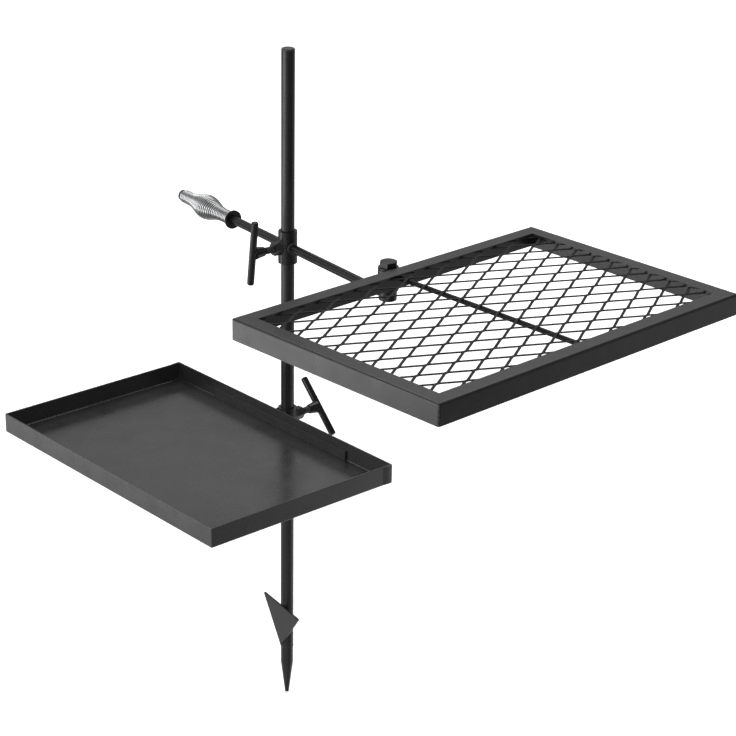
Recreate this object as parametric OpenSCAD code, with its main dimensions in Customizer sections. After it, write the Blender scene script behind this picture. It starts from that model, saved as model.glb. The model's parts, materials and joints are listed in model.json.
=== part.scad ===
// Swing arm campfire grill: a stake pole carries a swivelling grill grate on an
// arm with a coil handle, and a tray lower down. Both slide and turn on the pole
// and are held by T-handled clamp screws.
// Origin on the pole's axis at ground level, +Z up, -X from the pole over the
// tray, whose sides lie along the axes, and +Y from the grate towards the handle.

/* [Pole] */
// Outer diameter of the two pole tubes
pole_d = 19; // [16:0.5:25]
// Wall of the pole tubes
pole_wall = 1.6; // [1.2:0.1:2.4]
// Height above the ground of the upper tube's top end
pole_top_z = 846.1; // [800:0.1:900]
// Height above the ground of the joint between the two tubes
joint_z = 354; // [350:1:380]
// Depth below the ground of the lower tube's end
tube_depth = 70; // [68:1:90]
// Length of the sleeve inside the joint, half in each tube
spigot_len = 60; // [30:2:120]
// Wall of the sleeve inside the joint
spigot_wall = 2; // [1.2:0.1:3]

/* [Pole cap] */
// Height of the domed head above the pole's end
cap_rise = 4.6; // [2:0.1:8]
// Length of the hollow plug inside the pole
cap_plug_len = 18; // [8:1:30]
// Wall of the plug
cap_plug_wall = 2; // [1:0.1:3]

/* [Ground spike] */
// Diameter of the straight shank under the tube
spike_shank_d = 18.4; // [15:0.1:18.4]
// Length of the straight shank
spike_shank_len = 28; // [15:1:40]
// Length of the cone under the shank
spike_cone_len = 52; // [30:1:80]
// Diameter of the blunt point
spike_tip_d = 5.6; // [2:0.2:8]
// Length of the plug inside the lower tube
spike_plug_len = 20; // [10:1:40]

/* [Step plate] */
// Width along the top edge
step_w = 105; // [80:1:130]
// Height from the top edge down to the point
step_h = 68; // [50:1:68]
// Thickness of the plate
step_t = 3; // [2:0.5:5]
// How deep the pole sits in the plate's groove
step_groove = 1; // [0.2:0.1:1]
// Turn of the plate about the pole
step_turn = -9.5; // [-45:0.5:45]

/* [Arm] */
// Height of the arm rods' axis above the ground
arm_z = 566; // [540:1:590]
// Turn of the whole arm about the pole
arm_turn = -5.6; // [-10:0.1:0]
// Diameter of the arm rods
rod_d = 12.5; // [10:0.5:14]
// Distance from the pole's axis to the grate's pivot
arm_reach = 236.8; // [220:0.1:260]
// Outer diameter of both sliding collars
collar_d = 27; // [27:0.5:32]
// Height of the arm's collar
arm_collar_h = 47; // [36:1:60]

/* [Handle] */
// Distance from the pole's axis to the stop disc
stop_at = 140.5; // [120:0.5:150]
// Diameter of the stop disc
stop_d = 27.5; // [24:0.5:34]
// Thickness of the stop disc
stop_t = 3; // [2:0.5:5]
// Length of the handle from the stop disc to the peened head
handle_len = 140; // [120:0.5:160]
// Thickness of the peened head
head_t = 1; // [1:0.5:4]
// Wire diameter of the coil
wire_d = 3; // [2:0.1:3]
// Least pitch of the coil
coil_pitch = 3.5; // [3.5:0.1:6]
// How far the coil swells at its middle
coil_swell = 8.5; // [0:0.1:12]
// Radius of the bend where the wire turns along the rod
coil_bend = 2.5; // [2.5:0.1:4]

/* [Clamp screws] */
// Diameter of the threaded stem
screw_d = 10; // [8:0.5:12]
// Width across the flats of the welded nut
screw_nut_af = 17; // [16:0.5:19]
// Length of the welded nut
screw_nut_len = 12; // [8:0.5:14]
// Distance from the pole's axis to the hub
hub_at = 40; // [38:0.5:45]
// Length of the tapered hub up to the crossbar
hub_len = 13.6; // [12:0.1:16]
// Diameter of the hub's narrow end
hub_small_d = 13; // [13:0.5:16]
// Diameter of the hub's wide end
hub_large_d = 18; // [16:0.5:20]
// Diameter of the crossbar
tee_d = 10; // [8:0.5:12]
// Length of the crossbar
tee_len = 96; // [70:1:110]
// Lean of the arm screw's crossbar from upright
arm_tee_lean = 7.4; // [0:0.1:90]
// Lean of the tray screw's crossbar from upright
tray_tee_lean = 44.5; // [0:0.1:90]

/* [Grate pivot] */
// Diameter of the boss on the arm's end
boss_d = 24; // [20:0.5:26]
// Height of the boss
boss_h = 13; // [12.5:0.5:16]
// How far the boss reaches below the rods' axis
boss_drop = 6; // [5:0.5:7]
// Diameter of the pivot bolt
bolt_d = 14; // [10:0.5:14]
// Width across the flats of the bolt head
bolt_af = 22; // [19:0.5:24]
// Height of the bolt head
bolt_head_h = 8; // [5:0.5:10]
// How far the bolt shows below the boss
bolt_show = 2; // [0.5:0.5:5]
// Outer diameter of the pivot sleeve and its washer
sleeve_d = 28; // [26:0.5:30]
// Length of the pivot sleeve
sleeve_h = 30; // [26:0.5:34]
// Thickness of the washer
washer_t = 2.5; // [1.5:0.5:4]

/* [Grate] */
// Length of the grate
grate_w = 544; // [480:1:600]
// Depth of the grate
grate_d = 360; // [300:1:400]
// Height of the grate's top above the rods' axis
grate_lift = 42.5; // [38:0.1:46]
// Turn of the grate about its pivot at rest
grate_turn = 2; // [-10:0.1:10]
// Distance from the pivot to the middle of the grate's rear side
grate_shift = 10; // [0:1:20]
// Height of the angle rails
rail_h = 28.5; // [22:0.5:32]
// Width of the rails' top flange
flange_w = 23; // [15:0.5:30]
// Thickness of the rails
rail_t = 3; // [2:0.5:4]
// Length of one mesh opening's repeat along the grate
mesh_long = 64.5; // [50:0.5:90]
// Width of one mesh opening's repeat across the grate
mesh_short = 32.5; // [26:0.5:45]
// Width of the mesh strands
mesh_strand = 2.6; // [2:0.1:6]
// Length of the knuckles where the strands meet
mesh_knuckle = 4; // [3:0.1:10]
// Thickness of the mesh
mesh_t = 1.2; // [1:0.1:4]
// Solid edge left round the mesh
mesh_edge = 5; // [3:0.5:8]
// Diameter of the crossbar under the mesh
crossbar_d = 7; // [5:0.5:12]

/* [Tray] */
// Height of the tray's rim above the ground
tray_rim_z = 319.2; // [300:0.1:330]
// Size of the tray outwards from the pole
tray_l = 311.3; // [250:0.1:350]
// Size of the tray across
tray_w = 481.2; // [400:0.1:520]
// Height of the tray's walls
tray_h = 28.5; // [20:0.5:40]
// Thickness of the tray's sheet
tray_sheet = 2; // [1.5:0.1:3]
// Width of the folded tabs at the tray's rear corners
tab_w = 16; // [6:0.5:20]
// Thickness of the folded tabs
tab_t = 1.5; // [1:0.1:2]
// Length of the stiffener on the floor along the rear wall
stiffener_len = 297; // [150:1:380]
// Height of the stiffener
stiffener_h = 14.5; // [10:0.5:20]
// Thickness of the stiffener
stiffener_t = 3; // [2:0.5:5]
// Height of the tray's collar
tray_collar_h = 30; // [24:1:40]
// Height of the collar's top above the tray's rim
tray_collar_rise = 2; // [0:0.5:6]

/* [Clearances] */
// Gap between a collar and the pole it slides on
slide_gap = 0.25; // [0.2:0.05:0.4]
// Running clearance of the pivot, the spigot and the screws
run_gap = 0.08; // [0.04:0.01:0.1]
// Gap at welded and pressed seats
seat_gap = 0.05; // [0.02:0.01:0.1]
// End play between turning pieces
end_gap = 0.3; // [0.2:0.05:0.4]

/* [Hidden] */
$fn = 96;
eps = 0.01;

pole_r = pole_d / 2;
pole_bore_r = pole_r - pole_wall;
spigot_r = pole_bore_r - run_gap;
plug_r = pole_bore_r - seat_gap;
cap_sphere_r = (pow(pole_r, 2) + pow(cap_rise, 2)) / (2 * cap_rise);

collar_r = collar_d / 2;
collar_bore_r = pole_r + slide_gap;
rod_r = rod_d / 2;
wire_r = wire_d / 2;
screw_r = screw_d / 2;
tee_r = tee_d / 2;
nut_face = collar_r + screw_nut_len;
tee_at = hub_at + hub_len + tee_r;
// The hub wraps this far round the crossbar and holds the stem this deep
hub_wrap = 1.5;
stem_end = hub_at + hub_len - hub_wrap;

boss_top_z = arm_z - boss_drop + boss_h;
bolt_r = bolt_d / 2;
sleeve_r = sleeve_d / 2;
sleeve_z = boss_top_z + end_gap;
washer_z = sleeve_z + sleeve_h + end_gap;
bolt_head_z = washer_z + washer_t + seat_gap;

pivot_x = arm_reach * sin(arm_turn);
pivot_y = -arm_reach * cos(arm_turn);
grate_top_z = arm_z + grate_lift;
mesh_top_z = grate_top_z - rail_t - seat_gap;
crossbar_z = mesh_top_z - mesh_t - seat_gap - crossbar_d / 2;
crossbar_len = grate_d - 2 * (rail_t + seat_gap);

tray_rear_x = -collar_r - seat_gap;
tray_collar_z = tray_rim_z + tray_collar_rise - tray_collar_h;
tray_screw_z = tray_collar_z + tray_collar_h / 2;

// The coil, as rings along the wire: each is [place along the rod, angle, radius].
// Eight rings make a turn, and six points make a ring.
turn_rings = 8;
ring_points = 6;
coil_from = stop_at + stop_t + seat_gap;
coil_to = stop_at + handle_len - seat_gap;
coil_first = coil_from + wire_d + coil_bend;
coil_last = coil_to - wire_d - coil_bend;
coil_turns = floor((coil_last - coil_first) / coil_pitch);
coil_mid = (coil_first + coil_last) / 2;
coil_half = (coil_last - coil_first) / 2;
// The flats between rings cut inside the wire's circle, so the ends stand off by that much
coil_end_r = (rod_r + wire_r + seat_gap) / cos(180 / turn_rings);
head_r = coil_end_r;
bend_steps = [0, 30, 60];
// The coil's outline is a cosine to this power, so that its ends run out slim
swell_power = 5;

function swell(s) = coil_end_r + coil_swell * pow(cos(90 * s / coil_half), swell_power);
function arc_angle(length) = length / coil_end_r * 180 / PI;

coil_rings = concat(
    [[coil_from, -arc_angle(coil_bend), coil_end_r]],
    [for (a = bend_steps)
        [coil_from + wire_d + coil_bend * sin(a),
         -arc_angle(coil_bend * cos(a)), coil_end_r]],
    [for (i = [0 : turn_rings * coil_turns])
        let (s = coil_first + (coil_last - coil_first) * i / (turn_rings * coil_turns))
        [s, 360 * i / turn_rings, swell(s - coil_mid)]],
    [for (k = [len(bend_steps) - 1 : -1 : 0])
        let (a = bend_steps[k])
        [coil_last + coil_bend * (1 - sin(a)),
         360 * coil_turns + arc_angle(coil_bend * cos(a)), coil_end_r]],
    [[coil_to, 360 * coil_turns + arc_angle(coil_bend), coil_end_r]]
);
coil_path = [for (q = coil_rings) [q[2] * cos(q[1]), q[0], q[2] * sin(q[1])]];
coil_count = len(coil_path);

function unit(v) = v / norm(v);
function coil_way(i) = unit(coil_path[min(i + 1, coil_count - 1)] - coil_path[max(i - 1, 0)]);
function coil_out(i) =
    let (
        radial = [cos(coil_rings[i][1]), 0, sin(coil_rings[i][1])],
        way = coil_way(i)
    )
    unit(radial - (radial * way) * way);

coil_points = [
    for (i = [0 : coil_count - 1])
        let (out = coil_out(i), side = cross(coil_way(i), out))
        for (j = [0 : ring_points - 1])
            let (a = 360 * j / ring_points)
            coil_path[i] + wire_r * (cos(a) * out + sin(a) * side)
];
coil_faces = concat(
    [for (i = [0 : coil_count - 2]) for (j = [0 : ring_points - 1])
        let (a = i * ring_points + j, b = i * ring_points + (j + 1) % ring_points)
        each [[a, b + ring_points, b], [a, a + ring_points, b + ring_points]]],
    [for (j = [1 : ring_points - 2]) [0, j, j + 1]],
    [for (j = [1 : ring_points - 2])
        let (last = (coil_count - 1) * ring_points)
        [last, last + j + 1, last + j]]
);
// Least gap of the coil to itself: from each ring to those half a turn to two turns on
coil_gap = min([
    for (i = [0 : coil_count - 1])
        for (j = [i + turn_rings / 2 : min(i + 2 * turn_rings, coil_count - 1)])
            norm(coil_path[i] - coil_path[j]) - wire_d
]);
echo(str("handle_coil: ", coil_turns, " turns, least gap to itself ", coil_gap, " mm"));

module tube(r, bore_r, h) {
    difference() {
        cylinder(r = r, h = h);
        translate([0, 0, -eps]) cylinder(r = bore_r, h = h + 2 * eps);
    }
}

// A bar along +Z whose ends are rounded off
module rounded_bar(r, h, round_r) {
    rotate_extrude() {
        square([r - round_r, h]);
        translate([0, round_r]) square([r, h - 2 * round_r]);
        for (z = [round_r, h - round_r]) translate([r - round_r, z]) circle(r = round_r);
    }
}

// A rod along +Y between two distances from the pole's axis
module rod_along(r, from, to) {
    translate([0, from, 0]) rotate([-90, 0, 0]) cylinder(r = r, h = to - from);
}

module in_arm(z = 0) {
    rotate([0, 0, arm_turn]) translate([0, 0, z]) children();
}

module at_pivot(z = 0) {
    translate([pivot_x, pivot_y, z]) children();
}

// The pole's lower section

module lower_pole() {
    color("dimgray")
        translate([0, 0, -tube_depth]) tube(pole_r, pole_bore_r, joint_z + tube_depth);
}

module ground_spike() {
    cone_top = -tube_depth - spike_shank_len - seat_gap;
    color("dimgray") {
        translate([0, 0, -tube_depth - seat_gap]) cylinder(r = plug_r, h = spike_plug_len);
        translate([0, 0, cone_top]) cylinder(d = spike_shank_d, h = spike_shank_len);
        translate([0, 0, cone_top - spike_cone_len])
            cylinder(d1 = spike_tip_d, d2 = spike_shank_d, h = spike_cone_len);
    }
}

module step_plate() {
    color("dimgray") rotate([0, 0, step_turn]) difference() {
        translate([step_groove - pole_r, 0, 0])
            rotate([90, 0, -90])
                linear_extrude(step_t)
                    polygon([[-step_w / 2, 0], [step_w / 2, 0], [0, -step_h]]);
        translate([0, 0, -step_h - eps])
            cylinder(r = pole_r + seat_gap, h = step_h + 2 * eps);
    }
}

// The pole's upper section, which turns in the lower one

module upper_pole() {
    color("dimgray")
        translate([0, 0, joint_z + seat_gap])
            tube(pole_r, pole_bore_r, pole_top_z - joint_z - seat_gap);
}

module pole_spigot() {
    color("gray")
        translate([0, 0, joint_z - spigot_len / 2])
            tube(spigot_r, spigot_r - spigot_wall, spigot_len);
}

module pole_cap() {
    color("black") translate([0, 0, pole_top_z + seat_gap]) {
        intersection() {
            translate([0, 0, cap_rise - cap_sphere_r]) sphere(r = cap_sphere_r);
            cylinder(r = pole_r + eps, h = cap_rise + eps);
        }
        translate([0, 0, -cap_plug_len])
            tube(spigot_r, spigot_r - cap_plug_wall, cap_plug_len + eps);
    }
}

// A collar that slides on the pole, with its clamp screw's hole towards +X

module clamp_collar(h) {
    difference() {
        tube(collar_r, collar_bore_r, h);
        translate([pole_r, 0, h / 2])
            rotate([0, 90, 0]) cylinder(r = screw_r + run_gap, h = collar_r);
    }
}

module clamp_nut() {
    difference() {
        rotate([0, 90, 0])
            cylinder(d = screw_nut_af / cos(30), h = nut_face, $fn = 6);
        translate([0, 0, -screw_nut_af])
            cylinder(r = collar_r + seat_gap, h = 2 * screw_nut_af);
        rotate([0, 90, 0]) cylinder(r = screw_r + run_gap, h = nut_face + eps);
    }
}

module clamp_stem() {
    tip = pole_r + seat_gap;
    translate([tip, 0, 0]) rotate([0, 90, 0]) cylinder(r = screw_r, h = stem_end - tip);
}

module clamp_hub() {
    difference() {
        translate([hub_at, 0, 0])
            rotate([0, 90, 0])
                cylinder(d1 = hub_small_d, d2 = hub_large_d, h = hub_len + hub_wrap);
        translate([hub_at - eps, 0, 0])
            rotate([0, 90, 0])
                cylinder(r = screw_r + run_gap, h = stem_end + end_gap - hub_at);
        translate([tee_at, 0, -hub_large_d]) cylinder(r = tee_r + seat_gap, h = 2 * hub_large_d);
    }
}

module clamp_tee() {
    translate([tee_at, 0, -tee_len / 2]) rounded_bar(tee_r, tee_len, tee_r / 2);
}

// Places a clamp screw's pieces: the arm's screw points towards -X of the arm

module in_arm_screw(lean = 0) {
    in_arm(arm_z) rotate([0, 0, 180]) rotate([-lean, 0, 0]) children();
}

module in_tray_screw(lean = 0) {
    translate([0, 0, tray_screw_z]) rotate([-lean, 0, 0]) children();
}

// The arm and its handle

module arm_collar() {
    color("dimgray")
        in_arm(arm_z - arm_collar_h / 2) rotate([0, 0, 180]) clamp_collar(arm_collar_h);
}

module arm_collar_nut() {
    color("dimgray") in_arm_screw() clamp_nut();
}

// Both rods are cut to the collar's round and welded to it

module collar_cope() {
    translate([0, 0, -collar_d]) cylinder(r = collar_r + seat_gap, h = 2 * collar_d);
}

module grill_arm_rod() {
    color("dimgray") in_arm(arm_z) difference() {
        rod_along(rod_r, -arm_reach, 0);
        collar_cope();
        translate([0, -arm_reach, -boss_h]) cylinder(r = boss_d / 2 + seat_gap, h = 2 * boss_h);
    }
}

module handle_rod() {
    color("dimgray") in_arm(arm_z) difference() {
        union() {
            rod_along(rod_r, 0, stop_at + handle_len + eps);
            rod_along(head_r, stop_at + handle_len, stop_at + handle_len + head_t);
        }
        collar_cope();
    }
}

module handle_stop_disc() {
    color("black") in_arm(arm_z) difference() {
        rod_along(stop_d / 2, stop_at, stop_at + stop_t);
        rod_along(rod_r + seat_gap, stop_at - eps, stop_at + stop_t + eps);
    }
}

module handle_coil() {
    color("silver") in_arm(arm_z) polyhedron(points = coil_points, faces = coil_faces);
}

module arm_end_boss() {
    color("dimgray") at_pivot(arm_z - boss_drop) tube(boss_d / 2, bolt_r + seat_gap, boss_h);
}

module pivot_bolt() {
    shank_z = arm_z - boss_drop - bolt_show;
    color("gray") {
        at_pivot(shank_z) cylinder(r = bolt_r, h = bolt_head_z - shank_z + eps);
        at_pivot(bolt_head_z) cylinder(d = bolt_af / cos(30), h = bolt_head_h, $fn = 6);
    }
}

module pivot_washer() {
    color("dimgray") at_pivot(washer_z) tube(sleeve_r, bolt_r + seat_gap, washer_t);
}

module arm_screw_stem() {
    color("gray") in_arm_screw() clamp_stem();
}

module arm_tee_hub() {
    color("black") in_arm_screw(arm_tee_lean) clamp_hub();
}

module arm_tee_bar() {
    color("black") in_arm_screw(arm_tee_lean) clamp_tee();
}

// The grate: origin at its rear edge's middle, top face at z = 0, body towards -Y

module in_grate() {
    at_pivot(grate_top_z) rotate([0, 0, grate_turn])
        translate([-grate_shift, -sleeve_r - seat_gap, 0]) children();
}

module pivot_sleeve() {
    color("dimgray") at_pivot(sleeve_z) tube(sleeve_r, bolt_r + run_gap, sleeve_h);
}

// The rail's cross-section: its outer face at x = 0, its top at y = 0
module rail_section() {
    translate([0, -rail_h]) square([rail_t, rail_h - rail_t]);
    translate([rail_t, -rail_t]) square([flange_w - rail_t, rail_t]);
    intersection() {
        translate([rail_t, -rail_t]) circle(r = rail_t);
        translate([0, -rail_t]) square([rail_t, rail_t]);
    }
}

// A mitred rail along X with its outer face at y = 0 and its flange towards -Y
module rail(length) {
    intersection() {
        translate([-length / 2, 0, 0])
            rotate([90, 0, 90]) linear_extrude(length) mirror([1, 0]) rail_section();
        translate([0, 0, -rail_h - eps])
            linear_extrude(rail_h + 2 * eps)
                polygon([
                    [-length / 2 + seat_gap, eps],
                    [length / 2 - seat_gap, eps],
                    [length / 2 - flange_w - 2 * seat_gap, -flange_w - seat_gap],
                    [-length / 2 + flange_w + 2 * seat_gap, -flange_w - seat_gap]
                ]);
    }
}

module grate_rear_rail() {
    color("dimgray") in_grate() rail(grate_w);
}

module grate_front_rail() {
    color("dimgray") in_grate() translate([0, -grate_d, 0]) rotate([0, 0, 180]) rail(grate_w);
}

module grate_left_rail() {
    color("dimgray") in_grate()
        translate([-grate_w / 2, -grate_d / 2, 0]) rotate([0, 0, 90]) rail(grate_d);
}

module grate_right_rail() {
    color("dimgray") in_grate()
        translate([grate_w / 2, -grate_d / 2, 0]) rotate([0, 0, -90]) rail(grate_d);
}

// Half of the mesh opening's tip to tip length, allowing for the slanted strands
hole_rise = (mesh_short - mesh_strand * 2) / 2;
strand_run = mesh_long / 2 - mesh_knuckle;
strand_slant = atan2(mesh_short / 2, strand_run);
hole_flat = mesh_knuckle / 2;
hole_half = hole_flat + hole_rise / tan(strand_slant);
mesh_cols = ceil(grate_w / mesh_long);
mesh_rows = ceil(grate_d / mesh_short);

module mesh_hole() {
    polygon([
        [-hole_half, 0], [-hole_flat, hole_rise], [hole_flat, hole_rise],
        [hole_half, 0], [hole_flat, -hole_rise], [-hole_flat, -hole_rise]
    ]);
}

module grate_mesh() {
    mesh_l = grate_w - 2 * (rail_t + seat_gap);
    mesh_w = grate_d - 2 * (rail_t + seat_gap);
    color("dimgray") in_grate()
        translate([0, -grate_d / 2, mesh_top_z - mesh_t - grate_top_z])
            linear_extrude(mesh_t) difference() {
                square([mesh_l, mesh_w], center = true);
                intersection() {
                    square([mesh_l - 2 * mesh_edge, mesh_w - 2 * mesh_edge], center = true);
                    for (i = [-mesh_cols : mesh_cols], j = [-mesh_rows : mesh_rows])
                        if ((i + j) % 2 == 0)
                            translate([i * mesh_long / 2, j * mesh_short / 2]) mesh_hole();
                }
            }
}

module grate_crossbar() {
    color("dimgray") in_grate()
        translate([0, -rail_t - seat_gap - crossbar_len, crossbar_z - grate_top_z])
            rotate([-90, 0, 0]) cylinder(r = crossbar_d / 2, h = crossbar_len);
}

// The tray: origin at its rear wall's outer face, rim at z = 0, body towards -X

module in_tray() {
    translate([tray_rear_x, 0, tray_rim_z]) children();
}

module tray_pan() {
    color("dimgray") in_tray() {
        difference() {
            translate([-tray_l, -tray_w / 2, -tray_h]) cube([tray_l, tray_w, tray_h]);
            translate([tray_sheet - tray_l, tray_sheet - tray_w / 2, tray_sheet - tray_h])
                cube([tray_l - 2 * tray_sheet, tray_w - 2 * tray_sheet, tray_h]);
        }
        for (y = [-tray_w / 2 - tab_t, tray_w / 2])
            translate([-tab_w, y, -tray_h]) cube([tab_w, tab_t, tray_h]);
    }
}

module tray_stiffener() {
    color("dimgray") in_tray()
        translate([
            -tray_sheet - seat_gap - stiffener_t, -stiffener_len / 2,
            tray_sheet + seat_gap - tray_h
        ])
            cube([stiffener_t, stiffener_len, stiffener_h]);
}

module tray_collar() {
    color("dimgray") translate([0, 0, tray_collar_z]) clamp_collar(tray_collar_h);
}

module tray_collar_nut() {
    color("dimgray") in_tray_screw() clamp_nut();
}

module tray_screw_stem() {
    color("gray") in_tray_screw() clamp_stem();
}

module tray_tee_hub() {
    color("black") in_tray_screw(tray_tee_lean) clamp_hub();
}

module tray_tee_bar() {
    color("black") in_tray_screw(tray_tee_lean) clamp_tee();
}

lower_pole();
ground_spike();
step_plate();
upper_pole();
pole_spigot();
pole_cap();
arm_collar();
arm_collar_nut();
grill_arm_rod();
handle_rod();
handle_stop_disc();
handle_coil();
arm_end_boss();
pivot_bolt();
pivot_washer();
arm_screw_stem();
arm_tee_hub();
arm_tee_bar();
pivot_sleeve();
grate_rear_rail();
grate_front_rail();
grate_left_rail();
grate_right_rail();
grate_mesh();
grate_crossbar();
tray_pan();
tray_stiffener();
tray_collar();
tray_collar_nut();
tray_screw_stem();
tray_tee_hub();
tray_tee_bar();
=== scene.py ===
"""Looks for the swing arm campfire grill: powder-coated steel, a plated coil handle, weld beads
and expanded metal, lit like the studio photograph. Lengths are written in millimetres and turned
into metres where they are used; +Z is up and the pole's axis is the Z axis."""

import json
import math
import random

import bmesh
import bpy
from mathutils import Matrix, Vector, noise


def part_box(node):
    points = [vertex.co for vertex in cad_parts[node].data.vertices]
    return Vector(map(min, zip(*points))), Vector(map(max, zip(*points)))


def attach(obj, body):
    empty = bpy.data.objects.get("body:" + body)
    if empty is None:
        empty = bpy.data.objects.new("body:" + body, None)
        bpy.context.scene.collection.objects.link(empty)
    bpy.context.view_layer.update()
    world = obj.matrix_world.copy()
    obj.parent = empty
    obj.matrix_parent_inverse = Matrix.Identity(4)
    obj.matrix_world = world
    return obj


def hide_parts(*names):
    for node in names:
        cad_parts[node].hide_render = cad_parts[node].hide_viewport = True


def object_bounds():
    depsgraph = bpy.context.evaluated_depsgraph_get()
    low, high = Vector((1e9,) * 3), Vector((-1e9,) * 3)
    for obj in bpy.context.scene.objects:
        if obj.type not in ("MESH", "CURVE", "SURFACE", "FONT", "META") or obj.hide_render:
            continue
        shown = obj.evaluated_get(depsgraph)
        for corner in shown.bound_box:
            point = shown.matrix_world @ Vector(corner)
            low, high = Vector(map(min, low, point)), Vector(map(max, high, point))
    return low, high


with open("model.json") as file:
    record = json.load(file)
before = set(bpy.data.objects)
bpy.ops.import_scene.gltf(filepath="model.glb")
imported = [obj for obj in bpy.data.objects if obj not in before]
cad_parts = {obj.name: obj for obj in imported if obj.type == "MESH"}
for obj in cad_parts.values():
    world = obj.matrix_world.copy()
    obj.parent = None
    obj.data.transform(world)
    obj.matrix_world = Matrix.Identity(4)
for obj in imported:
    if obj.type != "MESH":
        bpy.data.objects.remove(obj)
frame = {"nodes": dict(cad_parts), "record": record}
cad_box = [list(corner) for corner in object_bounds()]

MM = 0.001
IMAGE = 736

# Driving sizes of the source that the CAD nodes' boxes don't give

ARM_TURN = math.radians(-5.6)
ARM_Z = 566.0
ARM_REACH = 236.8
COLLAR_R = 13.5
ROD_R = 6.25
POLE_R = 9.5
STEP_TURN = math.radians(-9.5)
STEP_W, STEP_BLUNT = 105.0, 2.6
SEAT = 0.05

PIVOT = Vector((ARM_REACH * math.sin(ARM_TURN), -ARM_REACH * math.cos(ARM_TURN), ARM_Z))
ARM = Matrix.Translation((0, 0, ARM_Z)) @ Matrix.Rotation(ARM_TURN, 4, "Z")

# The grate's own axes: origin at its rear side's middle, top face at z = 0, body towards -Y
GRATE_TURN = math.radians(2.0)
GRATE_SHIFT = 10.0
GRATE_TOP = 608.5
SLEEVE_R = 14.0
GRATE = (Matrix.Translation((PIVOT.x, PIVOT.y, GRATE_TOP)) @ Matrix.Rotation(GRATE_TURN, 4, "Z")
         @ Matrix.Translation((-GRATE_SHIFT, -SLEEVE_R - SEAT, 0)))
GRATE_W, GRATE_D = 544.0, 360.0

# Camera

CAMERA_AT = Vector((-1863.7, -2253.3, 1574.2))
CAMERA_HEADING = Vector((0.66726, 0.74482))
CAMERA_PITCH = math.radians(22.17)
CAMERA_ROLL = math.radians(0.96)
CAMERA_FOCAL_PX = 2200.0
SENSOR = 36.0


def make_camera():
    """The photograph's camera, from its place, heading, pitch and roll."""
    flat = Vector((*CAMERA_HEADING, 0)).normalized()
    forward = flat * math.cos(CAMERA_PITCH) - Vector((0, 0, math.sin(CAMERA_PITCH)))
    right = forward.cross(Vector((0, 0, 1))).normalized()
    up = right.cross(forward)
    x_axis = right * math.cos(CAMERA_ROLL) + up * math.sin(CAMERA_ROLL)
    y_axis = up * math.cos(CAMERA_ROLL) - right * math.sin(CAMERA_ROLL)
    data = bpy.data.cameras.new("photo_camera")
    data.sensor_fit = "HORIZONTAL"
    data.sensor_width = SENSOR
    data.lens = CAMERA_FOCAL_PX / IMAGE * SENSOR
    data.clip_start, data.clip_end = 0.1, 50
    camera = bpy.data.objects.new("photo_camera", data)
    bpy.context.scene.collection.objects.link(camera)
    axes = Matrix((x_axis, y_axis, -forward)).transposed().to_4x4()
    camera.matrix_world = Matrix.Translation(CAMERA_AT * MM) @ axes
    bpy.context.scene.camera = camera


make_camera()

# Materials


class Nodes:
    """A short way to build the node tree of a material or of the world."""

    def __init__(self, owner, place="Object"):
        self.owner = owner
        owner.use_nodes = True
        self.tree = owner.node_tree
        self.shader = self.tree.nodes.get("Principled BSDF")
        self.place = self.add("ShaderNodeTexCoord").outputs[place]

    def add(self, kind, inputs=(), **settings):
        node = self.tree.nodes.new(kind)
        for key, value in settings.items():
            setattr(node, key, value)
        for key, value in dict(inputs).items():
            if isinstance(value, bpy.types.NodeSocket):
                self.tree.links.new(value, node.inputs[key])
            else:
                node.inputs[key].default_value = value
        return node

    def noise(self, scale, detail=3.0, roughness=0.5, distortion=0.0, place=None):
        node = self.add("ShaderNodeTexNoise", {
            "Vector": place or self.place, "Scale": scale, "Detail": detail,
            "Roughness": roughness, "Distortion": distortion})
        return node.outputs["Fac"]

    def stretch(self, scale):
        node = self.add("ShaderNodeMapping", {"Vector": self.place, "Scale": scale})
        return node.outputs["Vector"]

    def spread(self, value, low, high, to_low=0.0, to_high=1.0, kind="LINEAR"):
        return self.add("ShaderNodeMapRange", {
            0: value, 1: low, 2: high, 3: to_low, 4: to_high},
            interpolation_type=kind).outputs["Result"]

    def ease(self, value, low, high, to_low=0.0, to_high=1.0):
        return self.spread(value, low, high, to_low, to_high, "SMOOTHSTEP")

    def vector(self, operation, a, b=(0, 0, 0), out="Vector"):
        return self.add("ShaderNodeVectorMath", {0: a, 1: b}, operation=operation).outputs[out]

    def math(self, operation, a, b=0.0):
        return self.add("ShaderNodeMath", {0: a, 1: b}, operation=operation).outputs["Value"]

    def mix(self, factor, a, b):
        return self.add("ShaderNodeMix", {0: factor, 6: a, 7: b}, data_type="RGBA").outputs[2]

    def bump(self, height, strength, distance, normal=None):
        inputs = {"Height": height, "Strength": strength, "Distance": distance}
        if normal:
            inputs["Normal"] = normal
        return self.add("ShaderNodeBump", inputs).outputs["Normal"]

    def set(self, **inputs):
        names = {key.replace("_", " "): value for key, value in inputs.items()}
        for key, value in names.items():
            if isinstance(value, bpy.types.NodeSocket):
                self.tree.links.new(value, self.shader.inputs[key])
            else:
                self.shader.inputs[key].default_value = value


def grey(value, tint=0.0):
    """A grey of that linear value; tint above 0 is cool."""
    return (value * (1 - tint), value, value * (1 + tint), 1)


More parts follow.
